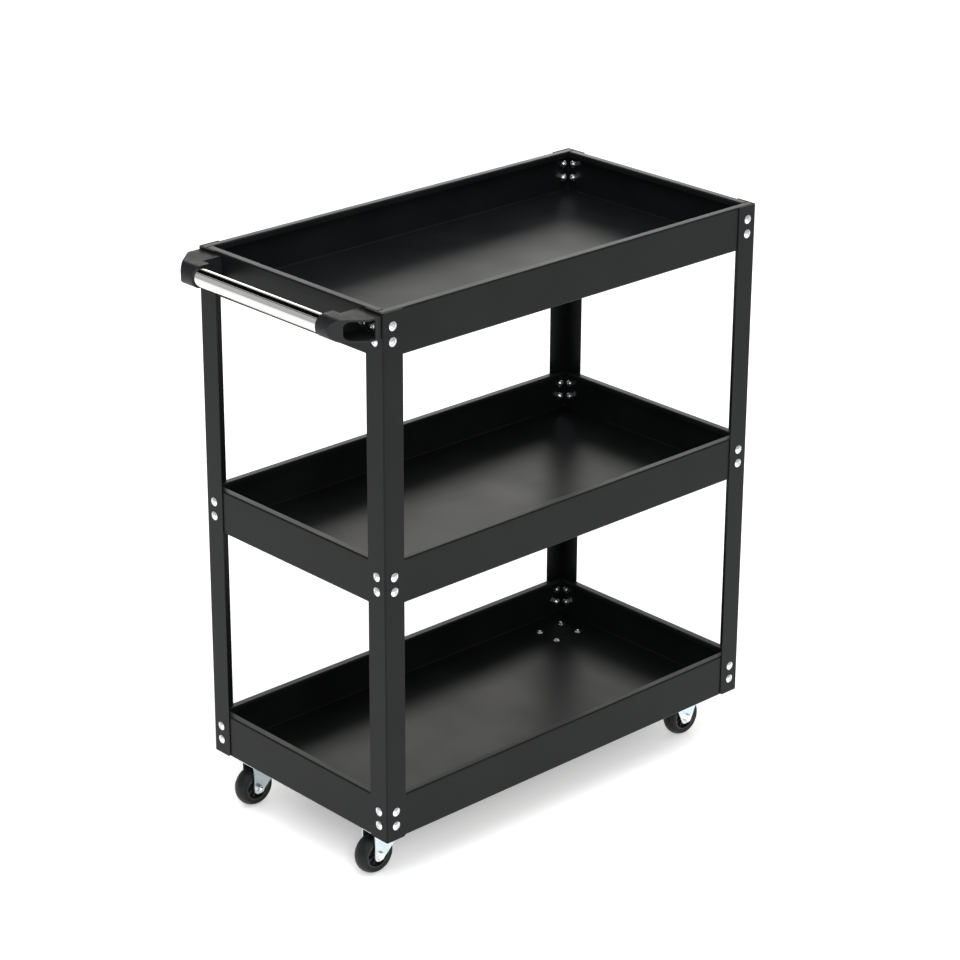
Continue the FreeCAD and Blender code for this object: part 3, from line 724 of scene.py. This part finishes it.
GRIP = POST_SHEET + SHEET + NUT_HEIGHT + PAST_NUT
post_screw = round_head_screw("post_screw", GRIP)
long_screw = round_head_screw("long_screw", GRIP + BRACKET_FOOT)
wall_nut = hex_nut("wall_nut", NUT_FLATS, NUT_HEIGHT, SCREW)
tray_rims = {level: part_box("tray_" + level)[1].z for level in LEVELS}
for level, rim in tray_rims.items():
    seats = screw_seats(rim)
    fasten("post_nuts_" + level, "_hex", set_out(wall_nut, inside(seats)))
    foot_seats = []
    if level == "top":
        foot_seats = [(at, out) for at, out in seats if out.x < 0 and near(at.z, rim - FIRST)]
    loose = set_out(long_screw, shifted(foot_seats, BRACKET_FOOT), 3)
    loose += set_out(post_screw, [seat for seat in seats if seat not in foot_seats])
    fasten("post_screws_" + level, "_cross", loose)
second_seats = [(Vector((body_low_x, side * -SECOND, tray_rims["top"] - FIRST)),
                 Vector((-1, 0, 0))) for side in (-1, 1)]
fasten("handle_screws", "_cross", set_out(long_screw, shifted(second_seats, BRACKET_FOOT)))
fasten("handle_nuts", "_hex", set_out(wall_nut, inside(second_seats)))
scrap(post_screw, long_screw, wall_nut)

# -------------------------------- push handle
tube_low, tube_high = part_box("handle_tube")
tube_middle = (tube_low + tube_high) / 2
tube_radius = (tube_high.z - tube_low.z) / 2
TUBE_WALL = 1.2 * MM
TUBE_SOCKET = 14 * MM       # how far each end lies inside its bracket
TUBE_BREAK = 0.4 * MM       # outer edge of each end, turned back
BORE_BREAK = 0.3 * MM
END_BREAK = 0.5 * MM        # how far along the tube both go


def handle_tube():
    """Tube about Z with its ends turned in a little, as the cutter leaves them."""
    half = (tube_high.y - tube_low.y) / 2
    bore = tube_radius - TUBE_WALL
    edge = half - END_BREAK
    socket = half - TUBE_SOCKET
    outside = [(bore + BORE_BREAK, -half), (tube_radius - TUBE_BREAK, -half),
               (tube_radius, -edge), (tube_radius, -socket), (tube_radius, 0),
               (tube_radius, socket), (tube_radius, edge), (tube_radius - TUBE_BREAK, half),
               (bore + BORE_BREAK, half), (bore, edge), (bore, -edge)]
    tube = turned("handle_tube_blank", outside, steps=96, ring=True)
    smooth(tube)
    return tube


blank = handle_tube()
tube = copy_of(blank, "handle_tube_chromed", Matrix.Translation(tube_middle) @ aim((0, 1, 0)))
scrap(blank)
dress(tube, "chromed_tube", "frame", "handle_tube")


POCKET_ROUND = 8 * MM       # front edges of the pocket over the upper screw
MOULD_EDGE = 0.7 * MM


def moulded_bracket(side):
    """The bracket's design shape with its doubled points merged, flats dissolved to whole
    faces, the front of its screw pocket rounded, and every edge broken as a moulding's is."""
    only(frame["nodes"]["handle_bracket_" + side])
    bpy.ops.object.duplicate()
    piece = bpy.context.object
    for key in list(piece.keys()):
        del piece[key]
    bpy.ops.object.parent_clear(type="CLEAR_KEEP_TRANSFORM")
    named("handle_bracket_" + side + "_moulding")
    heal(piece)
    open_edit(piece)
    bpy.ops.mesh.select_all(action="SELECT")
    bpy.ops.mesh.dissolve_limited(angle_limit=radians(1))
    low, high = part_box("handle_bracket_" + side)
    pick("EDGE", lambda e: runs(e, 1) and near(middle(e).x, tube_middle.x, 0.3 * MM)
         and low.z + MM < middle(e).z < high.z - MM)
    bpy.ops.mesh.bevel(offset=POCKET_ROUND, segments=6)
    close_edit()
    break_edges(piece, MOULD_EDGE, segments=3, angle=35)
    smooth(piece, 40)
    return piece


for side in SIDES:
    dress(moulded_bracket(side), "moulded_plastic", "frame", "handle_bracket_" + side)

# -------------------------------- caster plates and screws
PLATE = 2 * MM
PLATE_CORNER = 5 * MM
BOLT = 5.0 * MM
BOLT_HEAD = 11.0 * MM       # across the round head
NUT_ACROSS = 8.0 * MM
BOLT_NUT = 4.0 * MM         # height of the nut
BOLT_SPACING = (44 * MM, 36 * MM)


def caster_plate(name, low, high):
    """Rounded pressed plate with a soft punched edge."""
    plate = block(name, low, high)
    open_edit(plate)
    pick("EDGE", lambda e: runs(e, 2))
    bpy.ops.mesh.bevel(offset=PLATE_CORNER, segments=6)
    close_edit()
    break_edges(plate, 0.35 * MM, segments=3, angle=60)
    smooth(plate)
    return plate


bolt_pattern = round_head_screw("plate_screw", PLATE + SHEET + BOLT_NUT + PAST_NUT,
                                BOLT_HEAD, BOLT)
bolt_nut = hex_nut("plate_nut", NUT_ACROSS, BOLT_NUT, BOLT)
bolt_seats = []
nut_seats = []
for kind, side in [(kind, side) for kind in ("swivel", "fixed") for side in SIDES]:
    low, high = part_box(kind + "_plate_" + side)
    plate = caster_plate(kind + "_plate_" + side + "_pressing", low, high)
    dress(plate, "zinc_plated_pressing", "frame", kind + "_plate_" + side)
    for i in (-1, 1):
        for j in (-1, 1):
            x = (low.x + high.x + i * BOLT_SPACING[0]) / 2
            y = (low.y + high.y + j * BOLT_SPACING[1]) / 2
            bolt_seats.append((Vector((x, y, high.z + SHEET)), Vector((0, 0, 1))))
            nut_seats.append((Vector((x, y, low.z)), Vector((0, 0, -1))))
fasten("caster_bolts", "_cross", set_out(bolt_pattern, bolt_seats))
fasten("caster_nuts", "_hex", set_out(bolt_nut, nut_seats))
scrap(bolt_pattern, bolt_nut)

# -------------------------------- forks
FORK_SHEET = 1.6 * MM
FORK_FOLD = 2.6 * MM        # outside radius of the crown's folds
FORK_WIDTH = 26.2 * MM
CROWN_EDGE = 4 * MM         # upright edge of the crown before the slope starts
CROWN_TIP = 1.5 * MM        # rounding between the two
SLOPE_PASS = (8 * MM, -5 * MM)      # a point of a swivel leg's slope, from the axle
SWIVEL_HEEL = 7.2 * MM      # roundings of a swivel leg's foot, behind and in front
SWIVEL_TOE = 3 * MM
FIXED_FOOT = 7.5 * MM       # half the width of a fixed leg's foot
FIXED_TIP = 4.3 * MM
AXLE_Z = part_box("tyre_rear_right")[1].z / 2
LEG_HOLE = 6.2 * MM
RACE = 38 * MM
RACE_HEIGHT = 6.5 * MM


def pressed_fork(name, low, high, slopes, tips, axle_x):
    """Crown and two legs of a cube: the legs are cut to their slopes, their corners rounded,
    the crown folded, the skin thickened and the legs drilled for the axle. A slope is two points
    in the XZ plane, foot first; a tip is (x, z, how far along its edges the rounding starts)."""
    fork = block(name, low, high)
    open_edit(fork)
    pick("FACE", lambda f: f.normal.z < -0.9 or abs(f.normal.x) > 0.9)
    bpy.ops.mesh.delete(type="FACE")
    for (x0, z0), (x1, z1) in slopes:
        outward = 1 if x1 > x0 else -1
        bpy.ops.mesh.select_all(action="SELECT")
        bpy.ops.mesh.bisect(plane_co=(x0, 0, z0), clear_outer=True,
                            plane_no=((z1 - z0) * outward, 0, -abs(x1 - x0)))
    for x, z, offset in tips:
        pick("VERT", lambda v: near(v.co.x, x, 0.1 * MM) and near(v.co.z, z, 0.1 * MM))
        bpy.ops.mesh.bevel(affect="VERTICES", offset=offset, segments=6)
    pick("EDGE", lambda e: runs(e, 0) and near(middle(e).z, high[2]))
    bpy.ops.mesh.bevel(offset=FORK_FOLD, segments=5)
    face_outwards(lambda f: f.normal.z < -0.9)
    close_edit()
    modify(fork, "SOLIDIFY", thickness=FORK_SHEET, offset=-1, use_even_offset=True)
    y = (low[1] + high[1]) / 2
    bpy.ops.mesh.primitive_cylinder_add(vertices=32, radius=LEG_HOLE / 2, depth=2 * FORK_WIDTH,
                                        location=(axle_x, y, AXLE_Z), rotation=(pi / 2, 0, 0))
    carve(fork, named("axle_drill"))
    return fork


def centre(node):
    low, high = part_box(node)
    return (low + high) / 2


def swivel_fork(side):
    """The legs trail behind the swivel and slope forwards from below the axle to the crown's
    nose, and the crown widens to the bearing's disc."""
    low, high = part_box("swivel_fork_" + side)
    axle = centre("tyre_front_" + side)
    pivot = centre("swivel_plate_" + side)
    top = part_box("swivel_plate_" + side)[0].z - RACE_HEIGHT
    nose = (high.x, top - CROWN_EDGE)
    passing = (axle.x + SLOPE_PASS[0], AXLE_Z + SLOPE_PASS[1])
    foot_x = passing[0] - (passing[1] - low.z) * (nose[0] - passing[0]) / (nose[1] - passing[1])
    fork = pressed_fork("swivel_fork_" + side + "_pressing",
                        (low.x, axle.y - FORK_WIDTH / 2, low.z),
                        (high.x, axle.y + FORK_WIDTH / 2, top), [(passing, nose)],
                        [(low.x, low.z, SWIVEL_HEEL), (foot_x, low.z, SWIVEL_TOE),
                         (*nose, CROWN_TIP)], axle.x)
    edge = RACE / 2
    disc = turned("crown_disc", [(edge - 0.3 * MM, -FORK_SHEET), (edge, 0.3 * MM - FORK_SHEET),
                                 (edge, -0.4 * MM), (edge - 0.4 * MM, 0)], steps=64)
    set_at = Matrix.Translation((pivot.x, axle.y, top))
    carve(fork, copy_of(disc, "crown_disc_set", set_at), "UNION")
    scrap(disc)
    return fork


def fixed_fork(side):
    """A crown under the plate with both edges of each leg sloping in to the axle."""
    low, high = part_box("fixed_fork_" + side)
    axle = centre("tyre_rear_" + side)
    slopes = []
    tips = []
    for way, edge in ((-1, low.x), (1, high.x)):
        foot = (axle.x + way * FIXED_FOOT, low.z)
        crown = (edge, high.z - CROWN_EDGE)
        slopes.append((foot, crown))
        tips += [(*foot, FIXED_TIP), (*crown, CROWN_TIP)]
    return pressed_fork("fixed_fork_" + side + "_pressing", low, high, slopes, tips, axle.x)


for side in SIDES:
    for kind, maker, body in (("swivel_fork_", swivel_fork, "swivel_" + side),
                              ("fixed_fork_", fixed_fork, "frame")):
        fork = maker(side)
        break_edges(fork, 0.3 * MM, segments=3, angle=50)
        smooth(fork)
        dress(fork, "zinc_plated_pressing", body, kind + side)

# -------------------------------- wheels and axles
WHEEL_WIDTH = 21 * MM
SHOULDER = 24.6 * MM        # radius where the tread's crown ends
HUB = 38 * MM
AXLE = 6 * MM
AXLE_FLATS = 10 * MM
AXLE_HEAD = 4 * MM
AXLE_NUT = 5 * MM
AXLE_PITCH = 0.8 * MM
RIB = 1.6 * MM              # thickness of a hub's ribs at the web
RIB_DRAFT = 0.7             # outer edge of a rib against its foot
WHEEL_STOP = radians(22)    # turns at which wheels, bolts and nuts came to rest
BOLT_STOP = 0.4
NUT_STOP = 0.9


def both_sides(half):
    """A ring profile about its middle plane, from the half on one side: points of (radius,
    distance from that plane), from the bore outwards."""
    return half + [(r, -a) for r, a in reversed(half)]


def tyre_blank():
    """Moulded ring: a crowned tread with the mould's parting line, rounded shoulders, and a
    shallow groove round each side."""
    half = WHEEL_WIDTH / 2
    radius = AXLE_Z - 0.1 * MM
    rise = radius - SHOULDER
    edge = half - MM
    ball = (edge ** 2 + rise ** 2) / (2 * rise)
    reach = asin(edge / ball)
    tread = [(radius - ball + ball * cos(t), ball * sin(t))
             for t in [reach * (9 - i) / 9 for i in range(9)]]
    wall = half / MM
    side = mm((19.0, wall - 0.35), (19.3, wall), (21.3, wall), (21.6, wall - 0.35),
              (22.5, wall - 0.35), (22.8, wall), (23.7, wall - 0.1), (24.3, wall - 0.5))
    half_ring = side + tread + [(radius, 0.35 * MM), (AXLE_Z, 0.15 * MM)]
    tyre = turned("tyre_blank", both_sides(half_ring), steps=96, ring=True)
    smooth(tyre, 32)
    return tyre


def hub_blank():
    """Moulded hub: a boss for the sleeve, a web with eight ribs on each side, and a rim."""
    rim = WHEEL_WIDTH / 2 - 0.5 * MM
    half = mm((4.06, 11.1), (7.6, 11.1), (8.0, 10.7), (8.5, 3.7), (9.2, 3.0), (15.7, 3.0),
              (16.4, 3.7))
    half += [(16.7 * MM, rim - 0.3 * MM), (17.0 * MM, rim), (18.7 * MM, rim),
             (HUB / 2 - 0.02 * MM, rim - 0.3 * MM)]
    hub = turned("hub_blank", both_sides(half), steps=96, ring=True)
    rib = block("rib", (7.9 * MM, -RIB / 2, -6.5 * MM), (16.9 * MM, RIB / 2, 6.5 * MM))
    open_edit(rib)
    pick("FACE", lambda f: abs(f.normal.z) > 0.9)
    bpy.ops.transform.resize(value=(1, RIB_DRAFT, 1), center_override=(0, 0, 0))
    close_edit()
    ribs = [copy_of(rib, "rib_" + str(i), Matrix.Rotation(i * pi / 4, 4, "Z")) for i in range(8)]
    scrap(rib)
    carve(hub, group("ribs", ribs), "UNION")
    break_edges(hub, 0.2 * MM, angle=50)
    smooth(hub, 32)
    return hub


tyre_pattern = tyre_blank()
hub_pattern = hub_blank()
axle_bolt = hex_bolt("axle_bolt", AXLE_FLATS, AXLE_HEAD, AXLE,
                     FORK_WIDTH + AXLE_NUT + PAST_NUT, 5, AXLE_PITCH)
axle_nut = hex_nut("axle_nut", AXLE_FLATS, AXLE_NUT, AXLE)
for end in ("front", "rear"):
    for side, out in (("right", -1), ("left", 1)):
        place = end + "_" + side
        at = centre("tyre_" + place)
        leg = Vector((0, out * FORK_WIDTH / 2, 0))
        holder = "swivel_" + side if end == "front" else "frame"
        lie = Matrix.Translation(at) @ aim((0, out, 0), WHEEL_STOP)
        head = Matrix.Translation(at + leg) @ aim((0, out, 0), BOLT_STOP)
        nut = Matrix.Translation(at - leg) @ aim((0, -out, 0), NUT_STOP)
        for pattern, node, kind, set_at, slot, body in (
                (tyre_pattern, "tyre_", "_moulding", lie, "tyre_rubber", "wheel_" + place),
                (hub_pattern, "wheel_hub_", "_moulding", lie, "hub_plastic", "wheel_" + place),
                (axle_bolt, "axle_bolt_", "_hex", head, "bright_zinc_fastener", holder),
                (axle_nut, "axle_nut_", "_hex", nut, "bright_zinc_fastener", holder)):
            dress(copy_of(pattern, node + place + kind, set_at), slot, body, node + place)
scrap(tyre_pattern, hub_pattern, axle_bolt, axle_nut)

# -------------------------------- swivel races, kingpins, rivets
RACE_SKIRT = 1.6 * MM       # thickness of the skirt
RACE_BORE = 9 * MM          # radius
GROOVE = 14 * MM            # radius to the middle of the ball groove
GROOVE_ARC = 2.3 * MM       # radius of its section
PIN = 8 * MM
PIN_HEAD = 14 * MM
PIN_RISE = 2.5 * MM         # how far the head hangs down
PIN_GAP = 0.3 * MM          # between a kingpin's head and the fork that turns over it
RIVET = 5 * MM
RIVET_HEAD = 9 * MM
RIVET_RISE = 1.5 * MM
RIVET_OUT = 10 * MM         # each rivet from the plate's middle
RIM_EDGE = 0.4 * MM         # upright edge of a pin's head


def race_blank():
    """Pressed bearing race hung from Z = 0: a ball groove, and a skirt round its edge."""
    edge = RACE / 2
    low = 0.8 * MM - RACE_HEIGHT
    flat = 2 * MM - RACE_HEIGHT
    groove = arc((GROOVE, flat), GROOVE_ARC, 170, 10, 8)
    bore = [(RACE_BORE, 0), (RACE_BORE, flat + 0.4 * MM), (RACE_BORE + 0.4 * MM, flat)]
    outside = [(edge - RACE_SKIRT, flat), (edge - RACE_SKIRT, low), (edge - 0.6 * MM, low),
               (edge, low + 0.6 * MM), (edge, -1.6 * MM), (edge - 1.6 * MM, 0)]
    race = turned("race_blank", bore + groove + outside, steps=72, ring=True)
    smooth(race, 32)
    return race


def headed_pin(name, head, rise, shank, length):
    """Rivet: a domed head below Z = 0 and a shank above, ending in a small set-down."""
    crown = [(head / 2 * x, -RIM_EDGE - (rise - RIM_EDGE) * z)
             for x, z in arc((0, 0), 1, 80, 0, 6)]
    pin = turned(name, crown + [(head / 2, -0.2 * MM), (head / 2 - 0.2 * MM, 0), (shank / 2, 0),
                                (shank / 2, length - 0.3 * MM),
                                (shank / 2 - 0.3 * MM, length)], steps=40)
    smooth(pin, 32)
    return pin


race_pattern = race_blank()
for side in SIDES:
    under, over = (corner.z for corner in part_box("swivel_plate_" + side))
    pivot = centre("swivel_plate_" + side)
    race = copy_of(race_pattern, "swivel_race_" + side + "_pressing",
                   Matrix.Translation((pivot.x, pivot.y, under)))
    dress(race, "zinc_plated_pressing", "frame", "swivel_race_" + side)
    seat = Vector((pivot.x, pivot.y, under - RACE_HEIGHT - FORK_SHEET - PIN_GAP))
    pin = headed_pin("pin_blank", PIN_HEAD, PIN_RISE, PIN, over - seat.z)
    dress(copy_of(pin, "swivel_kingpin_" + side + "_headed", Matrix.Translation(seat)),
          "bright_zinc_fastener", "frame", "swivel_kingpin_" + side)
    pivot = centre("fixed_plate_" + side)
    seat = Vector((pivot.x, pivot.y, under - FORK_SHEET))
    rivet = headed_pin("rivet_blank", RIVET_HEAD, RIVET_RISE, RIVET, over - seat.z)
    pair = [copy_of(rivet, "rivet_" + str(i),
                    Matrix.Translation(seat + Vector((i * RIVET_OUT, 0, 0)))) for i in (-1, 1)]
    fasten("fixed_rivets_" + side, "_headed", pair)
    scrap(pin, rivet)
scrap(race_pattern)

# -------------------------------- pieces kept as designed
# The bearing balls and axle sleeves are plain turned shapes: they keep the design's own.
for node in frame["nodes"].values():
    if node.name.startswith(("swivel_balls", "axle_sleeve")):
        node.data.materials.clear()
        node.data.materials.append(FINISH["plain_steel"])

# -------------------------------- studio
FLOOR = 40                  # side of the square floor
FLAG_REACH = 0.5            # from the tube to a flag's middle
FLAG_SHIFT = 0.55           # how far a flag sits along the tube, past its middle
FLAG_LENGTH = 0.9


def area_light(name, place, target, width, height, watts, tint="#ffffff", mirrored=True):
    """A softbox at a place, facing a target; the lens doesn't see it, and nor do shiny surfaces
    unless it is mirrored."""
    bpy.ops.object.light_add(type="AREA", location=place)
    lamp = bpy.context.object
    lamp.name = name
    lamp.rotation_euler = (Vector(target) - Vector(place)).to_track_quat("-Z", "Y").to_euler()
    lamp.data.shape = "RECTANGLE"
    lamp.data.size = width
    lamp.data.size_y = height
    lamp.data.energy = watts
    lamp.data.color = linear(tint)[:3]
    lamp.visible_camera = False
    lamp.visible_glossy = mirrored


def black_cloth():
    """Black flag cloth, woven: it only shows as the dark bands in the polished tube."""
    material, tree, place = new_material("black_cotton_flag_cloth_woven")
    weave = add(tree, "TexNoise", {"Vector": place, "Scale": per_metre(1.5), "Detail": 2.0})
    tint = add(tree, "ValToRGB", {"Fac": weave.outputs["Fac"]})
    tint.color_ramp.elements[0].color = linear("#050505")
    tint.color_ramp.elements[1].color = linear("#0b0b0b")
    skin = add(tree, "BsdfPrincipled", {"Base Color": tint.outputs["Color"], "Roughness": 1.0,
                                        "Specular IOR Level": 0.0})
    add(tree, "OutputMaterial", {"Surface": skin.outputs["BSDF"]})
    return material


def flag(name, low_angle, high_angle, cloth):
    """A cloth strip beside the handle tube, between two angles round it from +X up, so that it
    fills that part of what the tube mirrors towards the lens. It hides and shades nothing."""
    half = radians(high_angle - low_angle) / 2
    bearing = radians(low_angle) + half
    out = Vector((cos(bearing) * FLAG_REACH, FLAG_SHIFT, sin(bearing) * FLAG_REACH))
    bpy.ops.mesh.primitive_plane_add(size=1, location=tube_middle + out,
                                     rotation=(0, pi / 2 - bearing, 0))
    bpy.context.object.scale = (2 * FLAG_REACH * tan(half), FLAG_LENGTH, 1)
    strip = named(name)
    strip.data.materials.append(cloth)
    strip.visible_camera = False
    strip.visible_diffuse = False
    strip.visible_shadow = False


def studio():
    """Light-table floor, a pale room, four softboxes and two flags for the tube."""
    bpy.ops.mesh.primitive_plane_add(size=FLOOR, location=(0, 0, cad_low.z))
    floor = named("studio_floor")
    open_edit(floor)
    bpy.ops.mesh.subdivide(number_cuts=3)
    close_edit()
    floor.data.materials.append(studio_floor())
    world = bpy.data.worlds.new("studio_room")
    world.use_nodes = True
    background = world.node_tree.nodes["Background"].inputs
    background["Color"].default_value = linear("#f6f7f8")
    background["Strength"].default_value = 0.55
    bpy.context.scene.world = world
    heart = (cad_low + cad_high) / 2
    area_light("back_softbox", (1.5, 1.7, 1.35), heart, 1.5, 0.8, 10, "#fffdf8")
    area_light("overhead_softbox", (-0.6, -0.9, 2.6), heart, 1.8, 1.8, 30)
    area_light("floor_wash", (1.5, 1.5, 5), (1.5, 1.5, 0), 14, 14, 330, mirrored=False)
    area_light("front_softbox", (-1.6, -2.2, 1.7), heart, 0.8, 0.8, 25)
    cloth = black_cloth()
    flag("ceiling_flag", 58, 112, cloth)
    flag("narrow_flag", 119, 126, cloth)


def camera():
    """Looks down on the handle end and the right-hand long side."""
    aim_point = Vector((0.0224, -0.0007, 0.4308))
    turn = radians(-43.07)
    rise = radians(22.57)
    distance = 3.986
    back = Vector((sin(turn) * cos(rise), -cos(turn) * cos(rise), sin(rise)))
    bpy.ops.object.camera_add(location=aim_point + back * distance)
    eye = bpy.context.object
    eye.rotation_mode = "QUATERNION"
    eye.rotation_quaternion = ((-back).to_track_quat("-Z", "Y")
                               @ Quaternion((0, 0, 1), radians(0.27)))
    eye.data.lens = 111.03
    eye.data.sensor_width = 36
    bpy.context.scene.camera = eye


studio()
camera()
bpy.context.scene.view_settings.view_transform = "Standard"
